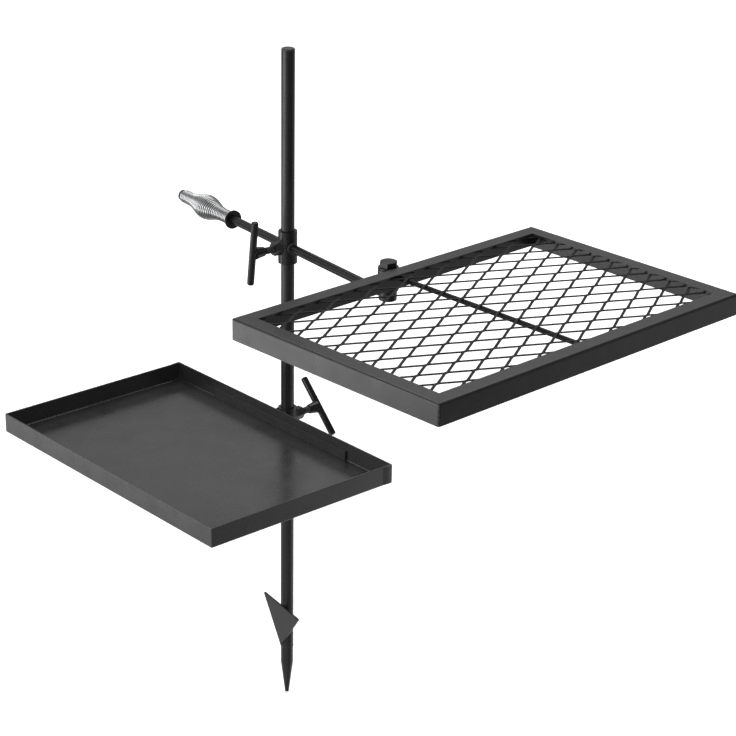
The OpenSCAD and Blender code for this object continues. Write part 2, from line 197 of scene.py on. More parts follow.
def powder_coat(name, tone, rough, grain=1.0, shine=0.5):
    """Satin black powder coat: fine orange peel, slight cloudiness, light flecks, and edges
    painted lighter, partly as rubbed wear and partly as a highlight.
    """
    n = Nodes(bpy.data.materials.new(name))
    cloud = n.spread(n.noise(14, 4), 0.3, 0.7)
    fleck = n.spread(n.noise(900, 2), 0.62, 0.74)
    base = n.mix(cloud, grey(tone * 0.86), grey(tone * 1.12, 0.01))
    base = n.mix(n.math("MULTIPLY", fleck, 0.22), base, grey(tone * 2.2))
    # Convex edges painted lighter: partly rubbed wear, partly a painted edge highlight
    edge = n.spread(n.add("ShaderNodeNewGeometry").outputs["Pointiness"], 0.53, 0.60)
    wear_and_highlight = n.math("MULTIPLY", edge, n.spread(n.noise(70, 4), 0.35, 0.7, 0.1, 0.45))
    base = n.mix(wear_and_highlight, base, grey(tone * 2.4))
    smear = n.spread(n.noise(30, 5, 0.6), 0.3, 0.7, rough - 0.05, rough + 0.06)
    peel = n.bump(n.noise(420, 2), 0.10 * grain, 0.0006)
    normal = n.bump(n.noise(1700, 2), 0.16 * grain, 0.00025, peel)
    n.set(Base_Color=base, Roughness=smear, Normal=normal, Specular_IOR_Level=shine)
    return n.owner


def weld_metal(name, tone, rough):
    """Coated weld: uneven, rougher and a little lighter than the plate around it."""
    n = Nodes(bpy.data.materials.new(name))
    patches = n.spread(n.noise(160, 4, 0.6), 0.3, 0.75)
    base = n.mix(patches, grey(tone * 0.5), grey(tone * 2.2, 0.01))
    normal = n.bump(n.noise(520, 4, 0.65), 0.5, 0.0008)
    n.set(Base_Color=base, Roughness=n.spread(patches, 0, 1, rough - 0.08, rough + 0.1),
          Normal=normal, Specular_IOR_Level=0.5)
    return n.owner


def plated_wire(name, tone):
    """Bright plated spring wire with faint drawing lines and duller patches."""
    n = Nodes(bpy.data.materials.new(name))
    drawn = n.noise(260, 4, 0.6, place=n.stretch((1.0, 0.25, 1.0)))
    cloud = n.spread(n.noise(60, 4), 0.35, 0.75)
    base = n.mix(cloud, grey(tone, 0.01), grey(tone * 0.72, 0.015))
    rough = n.spread(drawn, 0.3, 0.7, 0.16, 0.28)
    normal = n.bump(drawn, 0.05, 0.0003)
    n.set(Base_Color=base, Metallic=1.0, Roughness=rough, Normal=normal)
    return n.owner


def oiled_steel(name, tone, rough):
    """Black oxide on a machined thread or bolt: dark metal with wiped-off highlights."""
    n = Nodes(bpy.data.materials.new(name))
    wipe = n.spread(n.noise(120, 5, 0.6), 0.4, 0.75)
    base = n.mix(wipe, grey(tone), grey(tone * 2.2, 0.01))
    normal = n.bump(n.noise(900, 3), 0.12, 0.0003)
    n.set(Base_Color=base, Metallic=0.75, Roughness=n.spread(wipe, 0, 1, rough, rough + 0.1),
          Normal=normal)
    return n.owner


def moulded_plastic(name, tone):
    """Fine matt moulded cap with a scuffed crown."""
    n = Nodes(bpy.data.materials.new(name))
    scuff = n.spread(n.noise(220, 5, 0.65, place=n.stretch((1, 1, 0.4))), 0.55, 0.75)
    base = n.mix(scuff, grey(tone), grey(tone * 2.0))
    normal = n.bump(n.noise(1300, 2), 0.15, 0.0003)
    n.set(Base_Color=base, Roughness=n.spread(scuff, 0, 1, 0.42, 0.58), Normal=normal)
    return n.owner


PAINT = powder_coat("satin_black_powder_coat", 0.013, 0.30, 1.0, 0.40)
PAINT_FINE = powder_coat("satin_black_coat_small_parts", 0.008, 0.26, 0.7, 0.32)
TRAY_PAINT = powder_coat("satin_black_tray_coat", 0.021, 0.27, 0.5, 0.9)
MESH_PAINT = powder_coat("satin_black_mesh_coat", 0.006, 0.50, 1.0, 0.15)
WELD = weld_metal("coated_weld", 0.022, 0.34)
WIRE = plated_wire("plated_spring_wire", 0.54)
OXIDE = oiled_steel("black_oxide_steel", 0.05, 0.34)
STEEL = oiled_steel("machined_steel", 0.35, 0.3)
PLASTIC = moulded_plastic("moulded_black_plastic", 0.018)

# Mesh helpers

BODY_OF = {node: body for body, nodes in frame["record"]["behaviour"]["bodies"].items()
           for node in nodes}


def finish_piece(obj, body, material, smooth_deg=35):
    """Gives a piece its material, shading and body. Faces that meet at more than
    smooth_deg keep a sharp edge between them."""
    obj.data.materials.clear()
    obj.data.materials.append(material)
    for face in obj.data.polygons:
        face.use_smooth = True
    obj.data.set_sharp_from_angle(angle=math.radians(smooth_deg))
    obj.modifiers.new("flat_faces_stay_flat", "WEIGHTED_NORMAL").keep_sharp = True
    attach(obj, body)
    return obj


def new_object(name, bm):
    """An object in the scene from a closed bmesh, all faces outwards."""
    bmesh.ops.recalc_face_normals(bm, faces=bm.faces)
    if bm.calc_volume(signed=True) < 0:
        bmesh.ops.reverse_faces(bm, faces=bm.faces)
    mesh = bpy.data.meshes.new(name)
    bm.to_mesh(mesh)
    bm.free()
    obj = bpy.data.objects.new(name, mesh)
    bpy.context.scene.collection.objects.link(obj)
    return obj


def round_edges(bm, width, segments=2, angle_deg=30, sharp=None):
    """Bevels each edge sharper than angle_deg, except round the faces for which sharp is true."""
    edges = [e for e in bm.edges if len(e.link_faces) == 2
             and e.calc_face_angle(0) > math.radians(angle_deg)
             and not (sharp and any(sharp(f) for f in e.link_faces))]
    bmesh.ops.bevel(bm, geom=edges, offset=width * MM, segments=segments, profile=0.5,
                    affect="EDGES", clamp_overlap=True)


def cut_away(bm, at, way):
    """Cuts off what lies on the way side of the plane through at, and closes the cut."""
    cut = bmesh.ops.bisect_plane(bm, geom=bm.verts[:] + bm.edges[:] + bm.faces[:],
                                 clear_outer=True, plane_co=at * MM, plane_no=way)
    rim = [e for e in cut["geom_cut"] if isinstance(e, bmesh.types.BMEdge)]
    if rim:
        bmesh.ops.contextual_create(bm, geom=rim)


def dress(node, material, width, shape=None, sharp=None):
    """A copy of a CAD node with its edges broken as a real part's are; the node is replaced.
    shape, where given, changes the copy before its edges are broken, and faces for which sharp
    is true keep their edges."""
    source = frame["nodes"][node]
    bm = bmesh.new()
    bm.from_mesh(source.data)
    bm.transform(source.matrix_world)
    bmesh.ops.remove_doubles(bm, verts=bm.verts, dist=2e-6)
    bmesh.ops.dissolve_limit(bm, angle_limit=math.radians(0.3), verts=bm.verts, edges=bm.edges)
    if shape:
        shape(bm)
    round_edges(bm, width, sharp=sharp)
    bmesh.ops.dissolve_degenerate(bm, dist=2e-6, edges=bm.edges)
    obj = finish_piece(new_object(node + "_dressed", bm), BODY_OF[node], material)
    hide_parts(node)


def even_angles(count):
    """The angles of count even steps round a full turn."""
    return [2 * math.pi * k / count for k in range(count)]


def loft(bm, rings, cap_ends=True):
    """Joins closed rings of equally many points into a skin."""
    rows = [[bm.verts.new(Vector(p) * MM) for p in ring] for ring in rings]
    count = len(rows[0])
    for low, high in zip(rows, rows[1:]):
        for i in range(count):
            j = (i + 1) % count
            bm.faces.new((low[i], low[j], high[j], high[i]))
    if cap_ends:
        bm.faces.new(rows[0][::-1])
        bm.faces.new(rows[-1])


def lathe(bm, profile, sides, place=Matrix.Identity(4)):
    """A solid turned about local Z from pairs of radius and height."""
    loft(bm, [[place @ Vector((r * math.cos(a), r * math.sin(a), z)) for a in even_angles(sides)]
              for r, z in profile])


def sweep(bm, path, radii, sides=8, cyclic=False, lift=None):
    """A tube along a path, by parallel transport. lift gives each ring its first direction."""
    count = len(path)
    rings = []
    side = None
    for i, point in enumerate(path):
        ahead = path[(i + 1) % count] if cyclic else path[min(i + 1, count - 1)]
        behind = path[i - 1] if cyclic or i else path[0]
        way = (Vector(ahead) - Vector(behind)).normalized()
        if lift:
            side = Vector(lift(i))
        elif side is None:
            side = way.orthogonal()
        side = (side - way * side.dot(way)).normalized()
        other = way.cross(side)
        rings.append([Vector(point) + (side * math.cos(a) + other * math.sin(a)) * radii[i]
                      for a in even_angles(sides)])
    if cyclic:
        rings.append(rings[0])
    loft(bm, rings, cap_ends=not cyclic)


BEAD_STEP = 0.45
BEAD_RIPPLE = 1.7
BEAD_SWAY = 0.14


def weld_bead(name, body, path, radius, cyclic=False, seed=1):
    """A bead of overlapping weld ripples along a path, in millimetres, thinner at open ends."""
    rng = random.Random(seed)
    points = [Vector(p) for p in path]
    if cyclic:
        points.append(points[0])
    length = sum((b - a).length for a, b in zip(points, points[1:]))
    steps = max(12, int(length / BEAD_STEP))
    walk, spans = [], [(b - a).length for a, b in zip(points, points[1:])]
    for i in range(steps if cyclic else steps + 1):
        s = length * i / steps
        k = 0
        while k < len(spans) - 1 and s > spans[k]:
            s -= spans[k]
            k += 1
        walk.append(points[k].lerp(points[k + 1], min(1, s / max(spans[k], 1e-6))))
    phase = rng.random()
    radii = []
    for i in range(len(walk)):
        s = length * i / steps
        ripple = abs(math.sin(math.pi * (s / BEAD_RIPPLE + phase)))
        end = 1.0 if cyclic else min(1, (min(s, length - s) + 0.6) / (radius * 1.2))
        sway = BEAD_SWAY * noise.noise(walk[i] * 0.35 + Vector((seed, 0, 0)))
        radii.append(radius * (0.86 + 0.16 * ripple + sway) * max(0.35, math.sqrt(end)))
    bm = bmesh.new()
    sweep(bm, walk, radii, sides=8, cyclic=cyclic)
    if cyclic:
        bmesh.ops.remove_doubles(bm, verts=bm.verts, dist=1e-6)
    finish_piece(new_object(name, bm), body, WELD, smooth_deg=60)


def saddle(place, rod_r, drum_r):
    """The curve on which a round rod along local +X meets a drum of radius drum_r about Z."""
    path = []
    for a in even_angles(40):
        y, z = rod_r * math.sin(a), rod_r * math.cos(a)
        path.append(place @ Vector((math.sqrt(drum_r ** 2 - y ** 2), y, z)))
    return path


def facing(x, y):
    """A turn about Z that takes +X to the direction (x, y)."""
    return Matrix.Rotation(math.atan2(y, x), 4, "Z")


def hexagon_prism(bm, place, flats, low, high, chamfer_low, chamfer_high, bore=0.0):
    """A turned hexagon: six flats whose corners are cut back by a cone at each end."""
    corner = flats / math.sqrt(3)
    # How far a chamfer runs along the axis for each millimetre of radius
    drop = 0.55
    levels = [(low, corner - chamfer_low), (low + chamfer_low * drop, corner),
              (high - chamfer_high * drop, corner), (high, corner - chamfer_high)]
    if not chamfer_low:
        levels = levels[:1] + levels[2:]

    def point(limit, a, z):
        inner = flats / 2 / math.cos((a + math.pi / 6) % (math.pi / 3) - math.pi / 6)
        r = min(inner, limit)
        return place @ Vector((r * math.cos(a), r * math.sin(a), z))

    rings = []
    # Extra rings through the chamfer draw the curved line where cone and flat meet
    for (z0, r0), (z1, r1) in zip(levels, levels[1:]):
        for t in (0, 0.25, 0.5, 0.75):
            rings.append((z0 + (z1 - z0) * t, r0 + (r1 - r0) * t))
    rings.append(levels[-1])
    angles = even_angles(72)
    shape = [[point(r, a, z) for a in angles] for z, r in rings]
    if bore:
        shape += [[point(bore, a, z) for a in angles] for z in (high, low)]
        shape.append(shape[0])
        loft(bm, shape, cap_ends=False)
        bmesh.ops.remove_doubles(bm, verts=bm.verts, dist=1e-6)
    else:
        loft(bm, shape)


SCREW_R, SCREW_FROM, SCREW_TO = 5.0, 9.6, 52.0
THREAD_PITCH, THREAD_DEPTH = 1.5, 0.75


def threaded_stem(name, node, place, body):
    """A threaded rod along local +X: the crest climbs one pitch a turn."""
    per_pitch, sides = 8, 32
    count = int((SCREW_TO - SCREW_FROM) / THREAD_PITCH * per_pitch)
    rings = []
    for i in range(count + 1):
        x = SCREW_FROM + (SCREW_TO - SCREW_FROM) * i / count
        fade = min(1, (x - SCREW_FROM) / THREAD_PITCH, (SCREW_TO - x) / THREAD_PITCH)
        ring = []
        for k, a in enumerate(even_angles(sides)):
            wave = abs(((x / THREAD_PITCH - k / sides) % 1) * 2 - 1)
            cut = min(1, max(0, 1.25 * wave - 0.12))
            r = SCREW_R - THREAD_DEPTH * (1 - fade) * 0.8 - THREAD_DEPTH * cut * fade
            ring.append(place @ Vector((x, r * math.cos(a), r * math.sin(a))))
        rings.append(ring)
    bm = bmesh.new()
    loft(bm, rings)
    obj = finish_piece(new_object(name, bm), body, OXIDE, smooth_deg=50)
    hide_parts(node)


# Pole

for pole_node in ("lower_pole", "upper_pole", "ground_spike"):
    dress(pole_node, PAINT, 0.5)

STEP_AXES = Matrix.Rotation(STEP_TURN, 4, "Z")
# The way out of the step plate's upper corner, halfway between its edges
STEP_CORNER_OUT, STEP_CORNER_UP = 0.897, 0.441


def blunt_step_corners(bm):
    """The step plate's two upper corners, cut blunt as sheared plate is."""
    for side in (-1, 1):
        way = Vector((0, side * STEP_CORNER_OUT, STEP_CORNER_UP))
        corner = Vector((0, side * STEP_W / 2, 0))
        cut_away(bm, STEP_AXES @ (corner - way * STEP_BLUNT), STEP_AXES.to_3x3() @ way)


dress("step_plate", PAINT, 0.7, shape=blunt_step_corners)


def moulded_cap():
    """The pole's cap: a flat dome with rounded shoulders over a plug."""
    low, crown = (v.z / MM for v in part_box("pole_cap"))
    rise, side, shoulder, plug_r, taper = 4.6, 1.3, 2.6, 7.8, 2
    foot = crown - rise
    profile = [(plug_r - taper, low), (plug_r, low), (plug_r, foot), (POLE_R - 0.2, foot),
               (POLE_R, foot + 0.3), (POLE_R, foot + side)]
    profile += [(POLE_R - shoulder + shoulder * math.cos(a), foot + side + shoulder * math.sin(a))
                for a in (math.radians(degrees) for degrees in (15, 30, 45, 60, 75))]
    profile += [(6.4, crown - 0.6), (4.6, crown - 0.3), (2.4, crown - 0.08), (0.4, crown)]
    bm = bmesh.new()
    lathe(bm, profile, 64)
    obj = finish_piece(new_object("pole_cap_moulded", bm), "cap", PLASTIC)
    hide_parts("pole_cap")


moulded_cap()
dress("pole_spigot", STEEL, 0.5)

SPIKE_TOP, SPIKE_R = -70.0, 9.2
weld_bead("spike_seam_weld", "pole",
          [(SPIKE_R * math.cos(a), SPIKE_R * math.sin(a), SPIKE_TOP) for a in even_angles(40)],
          0.75, cyclic=True, seed=3)


def step_plate_welds():
    """Two beads where the step plate meets the tube, which draw together downwards."""
    x, top, length, steps = -POLE_R + 1.9, -2, 50, 20
    for i, y in enumerate((-5.2, 5.2)):
        path = [STEP_AXES @ Vector((x, y * (1 - 0.12 * (k / steps)), top - length * k / steps))
                for k in range(steps + 1)]
        weld_bead(f"step_plate_weld_{i + 1}", "pole", path, 2.0, seed=11 + i)


step_plate_welds()
# Two beads of spatter on the tube above the plate
for i, (z, size) in enumerate(((17.0, 1.5), (10.2, 2.0))):
    weld_bead(f"pole_spatter_{i + 1}", "pole",
              [(-8.9, -2.9, z - 1.2), (-8.9, -2.5, z), (-8.8, -2.9, z + 1.2)], size, seed=21 + i)

# Arm

for arm_node, edge in (("arm_collar", 1.2), ("grill_arm_rod", 0.3), ("handle_stop_disc", 0.6),
                       ("arm_end_boss", 0.8), ("pivot_washer", 0.5)):
    dress(arm_node, PAINT_FINE, edge)

# Along the handle rod: where its bare end starts, and its peened head
ROD_CUT, HEAD_AT, HEAD_R = 272.0, 280.5, 8.4


def cut_off_head(bm):
    """Takes the bare end and the head off the painted rod; peened_head makes them."""
    cut_away(bm, ARM @ Vector((0, ROD_CUT, 0)), ARM.to_3x3() @ Vector((0, 1, 0)))


def peened_head():
    """The rod's bare end and its peened head, bright like the coil that it holds."""
    profile = ((ROD_CUT - HEAD_AT, 6.2), (-0.02, 6.2), (0, 7.7), (0.15, 8.2), (0.4, HEAD_R),
               (0.65, 8.2), (0.9, 7.4), (1.0, 6.0))
    bm = bmesh.new()
    loft(bm, [[ARM @ Vector((r * math.cos(a), HEAD_AT + s, r * math.sin(a)))
               for a in even_angles(48)] for s, r in profile])
    obj = finish_piece(new_object("handle_peened_head", bm), "arm", WIRE, 50)
    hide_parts("handle_rod")


dress("handle_rod", PAINT_FINE, 0.3, shape=cut_off_head)
peened_head()

# Local +X along the handle rod, along the grill's rod and along the arm's clamp screw
ARM_AWAY = ARM @ facing(0, 1)
ARM_NEAR = ARM @ facing(0, -1)
ARM_SIDE = ARM @ facing(-1, 0)
BOSS_R = 12.0
TRAY_SCREW_Z = 306.2
TRAY_SIDE = Matrix.Translation((0, 0, TRAY_SCREW_Z))

weld_bead("handle_rod_weld", "arm", saddle(ARM_AWAY, ROD_R + 0.6, COLLAR_R), 1.7, True, 31)
weld_bead("grill_rod_weld", "arm", saddle(ARM_NEAR, ROD_R + 0.6, COLLAR_R), 1.7, True, 32)
weld_bead("boss_weld", "arm",
          saddle(Matrix.Translation(PIVOT) @ Matrix.Rotation(ARM_TURN, 4, "Z") @ facing(0, 1),
                 ROD_R - 0.2, BOSS_R), 1.4, True, 33)

NUT_FLATS, NUT_LEN, NUT_BORE, NUT_CHAMFER, NUT_SUNK = 17.0, 12.0, 5.08, 1.4, 2.6
NUT_WELD_R = 9.0


def welded_nut(name, node, place, body, seed):
    """A chamfered hexagon nut standing off a collar, with its weld."""
    upright = place @ Matrix.Rotation(math.pi / 2, 4, "Y")
    bm = bmesh.new()
    hexagon_prism(bm, upright, NUT_FLATS, COLLAR_R - NUT_SUNK, COLLAR_R + NUT_LEN, 0, NUT_CHAMFER,
                  bore=NUT_BORE)
    obj = finish_piece(new_object(name, bm), body, PAINT_FINE)
    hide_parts(node)
    weld_bead(name + "_weld", body, saddle(place, NUT_WELD_R, COLLAR_R), 1.5, True, seed)


welded_nut("arm_clamp_nut", "arm_collar_nut", ARM_SIDE, "arm", 41)
welded_nut("tray_clamp_nut", "tray_collar_nut", TRAY_SIDE, "tray", 42)

threaded_stem("arm_screw_thread", "arm_screw_stem", ARM_SIDE, "arm_screw")
threaded_stem("tray_screw_thread", "tray_screw_stem", TRAY_SIDE, "tray_screw")

TEE_AT, TEE_R = 58.6, 5.0
ARM_TEE_LEAN = math.radians(-7.4)
TRAY_TEE_LEAN = math.radians(-44.5)

for group, place, lean, seed in (("arm", ARM_SIDE, ARM_TEE_LEAN, 51),
                                 ("tray", TRAY_SIDE, TRAY_TEE_LEAN, 52)):
    dress(group + "_tee_hub", PAINT_FINE, 0.5)
    dress(group + "_tee_bar", PAINT_FINE, 0.2)
    # The fillet of weld round the hub's mouth, where the bar's underside sits on it
    hub = place @ Matrix.Rotation(lean, 4, "X")
    path = []
    for a in even_angles(36):
        y, z = 4.6 * math.sin(a), 8.4 * math.cos(a)
        path.append(hub @ Vector((TEE_AT - math.sqrt(TEE_R * TEE_R - y * y) - 0.1, y, z)))
    weld_bead(group + "_tee_weld", group + "_tee", path, 1.3, True, seed)

# Handle coil

WIRE_R = 1.5
COIL_FROM, COIL_TO = 143.55, 280.45
COIL_BEND = 2.5
COIL_SWELL = 8.5
COIL_TURNS = 35
COIL_END_R = (ROD_R + WIRE_R + SEAT) / math.cos(math.pi / 8)


def coil_handle():
    """One unbroken wire: straight ends along the rod, a short bend, and the swelling coil."""
    first, last = COIL_FROM + 2 * WIRE_R + COIL_BEND, COIL_TO - 2 * WIRE_R - COIL_BEND
    middle, half = (first + last) / 2, (last - first) / 2
    per_turn = 28
    bend = [math.radians(a) for a in (0, 15, 30, 45, 60, 75)]
    spots = [(COIL_FROM, -COIL_BEND / COIL_END_R, COIL_END_R),
             (COIL_FROM + WIRE_R, -COIL_BEND / COIL_END_R, COIL_END_R)]
    spots += [(COIL_FROM + 2 * WIRE_R + COIL_BEND * math.sin(a),
               -COIL_BEND * math.cos(a) / COIL_END_R, COIL_END_R) for a in bend]
    for i in range(per_turn * COIL_TURNS + 1):
        s = first + (last - first) * i / (per_turn * COIL_TURNS)
        swell = COIL_SWELL * math.cos(math.pi / 2 * (s - middle) / half) ** 5
        spots.append((s, 2 * math.pi * i / per_turn, COIL_END_R + swell))
    full = 2 * math.pi * COIL_TURNS
    spots += [(last + COIL_BEND * (1 - math.sin(a)),
               full + COIL_BEND * math.cos(a) / COIL_END_R, COIL_END_R) for a in bend[::-1]]
    spots += [(COIL_TO - WIRE_R, full + COIL_BEND / COIL_END_R, COIL_END_R),
              (COIL_TO, full + COIL_BEND / COIL_END_R, COIL_END_R)]
    path = [ARM @ Vector((r * math.cos(a), s, r * math.sin(a))) for s, a, r in spots]
    turn = ARM.to_3x3()
    bm = bmesh.new()
    sweep(bm, path, [WIRE_R] * len(path), sides=10,
          lift=lambda i: turn @ Vector((math.cos(spots[i][1]), 0, math.sin(spots[i][1]))))
    obj = finish_piece(new_object("handle_coil_wire", bm), "arm", WIRE, 60)
    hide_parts("handle_coil")


coil_handle()

# Pivot

BOLT_R, BOLT_FLATS, BOLT_HEAD = 6.95, 22.0, 8
BOLT_HEAD_TURN = math.radians(12)


def pivot_head():
    """The pivot bolt: a chamfered hexagon head over the washer, and its shank."""
    box_low, box_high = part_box("pivot_bolt")
    top = box_high.z / MM
    place = Matrix.Translation((PIVOT.x, PIVOT.y, 0))
    bm = bmesh.new()
    hexagon_prism(bm, place @ Matrix.Rotation(BOLT_HEAD_TURN, 4, "Z"), BOLT_FLATS,
                  top - BOLT_HEAD, top, chamfer_low=0.4, chamfer_high=2.4)
    shank_low = box_low.z / MM
    lathe(bm, ((6.0, shank_low), (BOLT_R, shank_low + 0.9), (BOLT_R, top - BOLT_HEAD + 0.1)),
          40, place)
    obj = finish_piece(new_object("pivot_bolt_head", bm), "arm", PAINT_FINE)
    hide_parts("pivot_bolt")


pivot_head()
dress("pivot_sleeve", PAINT, 0.7)

# Grate

CORNER_R = 3.0


def round_frame_corners(bm):
    """The frame's outer corners are ground round after welding: planes touch that round."""
    for side_x in (-1, 1):
        for y, side_y in ((0, 1), (-GRATE_D, -1)):
            middle = Vector((side_x * (GRATE_W / 2 - CORNER_R), y - side_y * CORNER_R, 0))
            for degrees in (15, 30, 45, 60, 75):
                a = math.radians(degrees)
                way = Vector((side_x * math.cos(a), side_y * math.sin(a), 0))
                cut_away(bm, GRATE @ (middle + way * CORNER_R), GRATE.to_3x3() @ way)


TO_GRATE = GRATE.inverted()


def is_mitre(face):
    """Whether a face lies on a mitre, whose weld is ground flush."""
    way = TO_GRATE.to_3x3() @ face.normal
    at = TO_GRATE @ (face.calc_center_median() / MM)
    # Its normal runs across the diagonal from the grate's middle to the corner
    diagonal = at.x * (at.y + GRATE_D / 2)
    return abs(way.z) < 0.01 and way.x * way.y * diagonal < -0.45 * abs(diagonal)


for rail in ("grate_rear_rail", "grate_front_rail", "grate_left_rail", "grate_right_rail"):
    dress(rail, PAINT, 0.5, shape=round_frame_corners, sharp=is_mitre)
dress("grate_crossbar", MESH_PAINT, 0.4)


def sleeve_welds():
    """Upright beads on both sides of the pivot sleeve, where it meets the rear rail."""
    for i, side in enumerate((-1, 1)):
        path = [GRATE @ Vector((GRATE_SHIFT + side * 8.8, 1.6, z)) for z in range(-28, -5)]
        weld_bead(f"sleeve_weld_{i + 1}", "grate", path, 2.4, seed=61 + i)


sleeve_welds()

# The openings' repeat, the width of strand and knuckle, the thickness, the slant and the gap to
# the frame's edge
MESH_LONG, MESH_SHORT = 64.5, 32.5
MESH_STRAND, MESH_KNUCKLE = 2.0, 4.0
MESH_THICK = 1.1
MESH_TILT = 0.05
MESH_SEAT = 3.05
# The sheet that the frame's outline is cut from
MESH_SHEET_W, MESH_SHEET_D = 600, 420


def expanded_metal():
    """Raised expanded metal: slanted strands that meet in knuckles, cut to the frame."""
    low_z, high_z = (v.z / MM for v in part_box("grate_mesh"))
    centre = Vector((0, -GRATE_D / 2, (low_z + high_z) / 2 - GRATE_TOP))
    half_x, half_y = GRATE_W / 2 - MESH_SEAT, GRATE_D / 2 - MESH_SEAT
    rise = (MESH_SHORT - 2 * MESH_STRAND) / 2
    flat = MESH_KNUCKLE / 2
    slope = (MESH_SHORT / 2) / (MESH_LONG / 2 - MESH_KNUCKLE)
    half = flat + rise / slope
    bm = bmesh.new()
    made = {}

    def vertex(x, y, z):
        key = (round(x, 3), round(y, 3))
        if key not in made:
            made[key] = bm.verts.new((centre + Vector((x, y, z))) * MM)
        return made[key]

    cols, rows = int(MESH_SHEET_W / MESH_LONG) + 1, int(MESH_SHEET_D / MESH_SHORT) + 1
    for i in range(-cols, cols + 1):
        for j in range(-rows, rows + 1):
            if (i + j) % 2:
                continue
            x, y = i * MESH_LONG / 2, j * MESH_SHORT / 2
            side_x, top_y = MESH_LONG / 2, y + MESH_SHORT / 2
            upper = [vertex(x - flat, y + rise, -MESH_TILT),
                     vertex(x + flat, y + rise, -MESH_TILT)]
            lower = [vertex(x + flat, y + MESH_SHORT - rise, MESH_TILT),
                     vertex(x - flat, y + MESH_SHORT - rise, MESH_TILT)]
            left_tip = vertex(x - side_x + half, top_y, 0)
            right_tip = vertex(x + side_x - half, top_y, 0)
            bm.faces.new((upper[0], upper[1], right_tip, lower[0], lower[1], left_tip))
            bm.faces.new((upper[1], vertex(x + half, y, 0),
                          vertex(x + side_x - flat, top_y - rise, MESH_TILT), right_tip))
            bm.faces.new((upper[0], left_tip,
                          vertex(x - side_x + flat, top_y - rise, MESH_TILT),
                          vertex(x - half, y, 0)))
    for reach, way in ((half_x, (1, 0, 0)), (half_x, (-1, 0, 0)),
                       (half_y, (0, 1, 0)), (half_y, (0, -1, 0))):
        bmesh.ops.bisect_plane(bm, geom=bm.verts[:] + bm.edges[:] + bm.faces[:],
                               plane_co=(centre + Vector(way) * reach) * MM, plane_no=way,
                               clear_outer=True)
    bmesh.ops.recalc_face_normals(bm, faces=bm.faces)
    if sum(f.normal.z for f in bm.faces) < 0:
        bmesh.ops.reverse_faces(bm, faces=bm.faces)
    for v in bm.verts:
        v.co.z += MESH_THICK / 2 * MM
    grown = bmesh.ops.extrude_face_region(bm, geom=bm.faces[:])
    for item in grown["geom"]:
        if isinstance(item, bmesh.types.BMVert):
            item.co.z -= MESH_THICK * MM
    bmesh.ops.recalc_face_normals(bm, faces=bm.faces)
    round_edges(bm, 0.2, segments=1, angle_deg=40)
    bm.transform(Matrix.Scale(MM, 4) @ GRATE @ Matrix.Scale(1 / MM, 4))
    obj = finish_piece(new_object("grate_expanded_metal", bm), "grate", MESH_PAINT)
    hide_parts("grate_mesh")


expanded_metal()

# Tray

dress("tray_stiffener", TRAY_PAINT, 0.2)
dress("tray_collar", PAINT, 0.8)

TRAY_LOW, TRAY_HIGH = (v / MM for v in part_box("tray_pan"))
SHEET = 2.0
TAB_W, TAB_T = 16.0, 1.5


def rounded_rect(x0, y0, x1, y1, r, z):
    """A level ring with corners of radius r, five points to a corner."""
    ring = []
    for cx, cy, start in ((x1 - r, y1 - r, 0), (x0 + r, y1 - r, 90),
                          (x0 + r, y0 + r, 180), (x1 - r, y0 + r, 270)):
        for k in range(5):
            a = math.radians(start + 90 * k / 4)
            ring.append(Vector((cx + r * math.cos(a), cy + r * math.sin(a), z)))
    return ring


def folded_tray():
    """The tray as one folded sheet: bends along the floor, a rolled rim and lapped corners."""
    x0, x1 = TRAY_LOW.x, TRAY_HIGH.x
    y0, y1 = TRAY_LOW.y + TAB_T, TRAY_HIGH.y - TAB_T
    z0, z1 = TRAY_LOW.z, TRAY_HIGH.z
    bend_out, bend_in, rim, corner = 2.2, 1.8, 0.6, 1.2
    bend = [math.radians(a) for a in range(0, 91, 18)]
    roll = [math.radians(a) for a in range(0, 91, 30)]
    profile = [(bend_out * (1 - math.sin(a)), z0 + bend_out * (1 - math.cos(a))) for a in bend]
    profile += [(rim * (1 - math.cos(a)), z1 - rim + rim * math.sin(a)) for a in roll]
    profile += [(SHEET - rim * (1 - math.sin(a)), z1 - rim + rim * math.cos(a)) for a in roll]
    profile += [(SHEET + bend_in * (1 - math.cos(a)), z0 + SHEET + bend_in * (1 - math.sin(a)))
                for a in bend]
    rings = [rounded_rect(x0 + d, y0 + d, x1 - d, y1 - d, max(0.25, corner - d * 0.4), z)
             for d, z in profile]
    bm = bmesh.new()
    loft(bm, rings)
    for y, way in ((y0, -1), (y1, 1)):
        tab = []
        for z in (z0 + 1.4, z1 - 0.3):
            tab.append([Vector(p) for p in (
                (x1, y, z), (x1 - 0.5, y + way * 0.9, z), (x1 - 2.5, y + way * 1.4, z),
                (x1 - 5, y + way * TAB_T, z), (x1 - TAB_W + 6, y + way * 1.2, z),
                (x1 - TAB_W + 2, y + way * 0.5, z), (x1 - TAB_W, y, z))])
        loft(bm, tab)
    obj = finish_piece(new_object("tray_folded_sheet", bm), "tray", TRAY_PAINT, smooth_deg=32)
    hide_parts("tray_pan")


folded_tray()


def tray_collar_welds():
    """Upright beads on both sides of the collar, where it meets the tray's rear wall."""
    low, high = (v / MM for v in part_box("tray_collar"))
    face_x = TRAY_HIGH.x
    for i, side in enumerate((-1, 1)):
        path = [(face_x + 1.7, side * 8.6, low.z + 1 + k) for k in range(int(high.z - low.z) - 1)]
        weld_bead(f"tray_collar_weld_{i + 1}", "tray", path, 2.5, seed=71 + i)


tray_collar_welds()

# Stage and light

# In metres
FLOOR_Z, FLOOR_HALF = cad_box[0][2], 8.0
FLOOR_TONE = 0.82
WORLD_FILL = 0.45
WHITE = grey(1)
# The studio's bright side is on the left, as the pole's highlight in the photograph shows
BRIGHT_WAY = (math.cos(math.radians(165)), math.sin(math.radians(165)), 0)


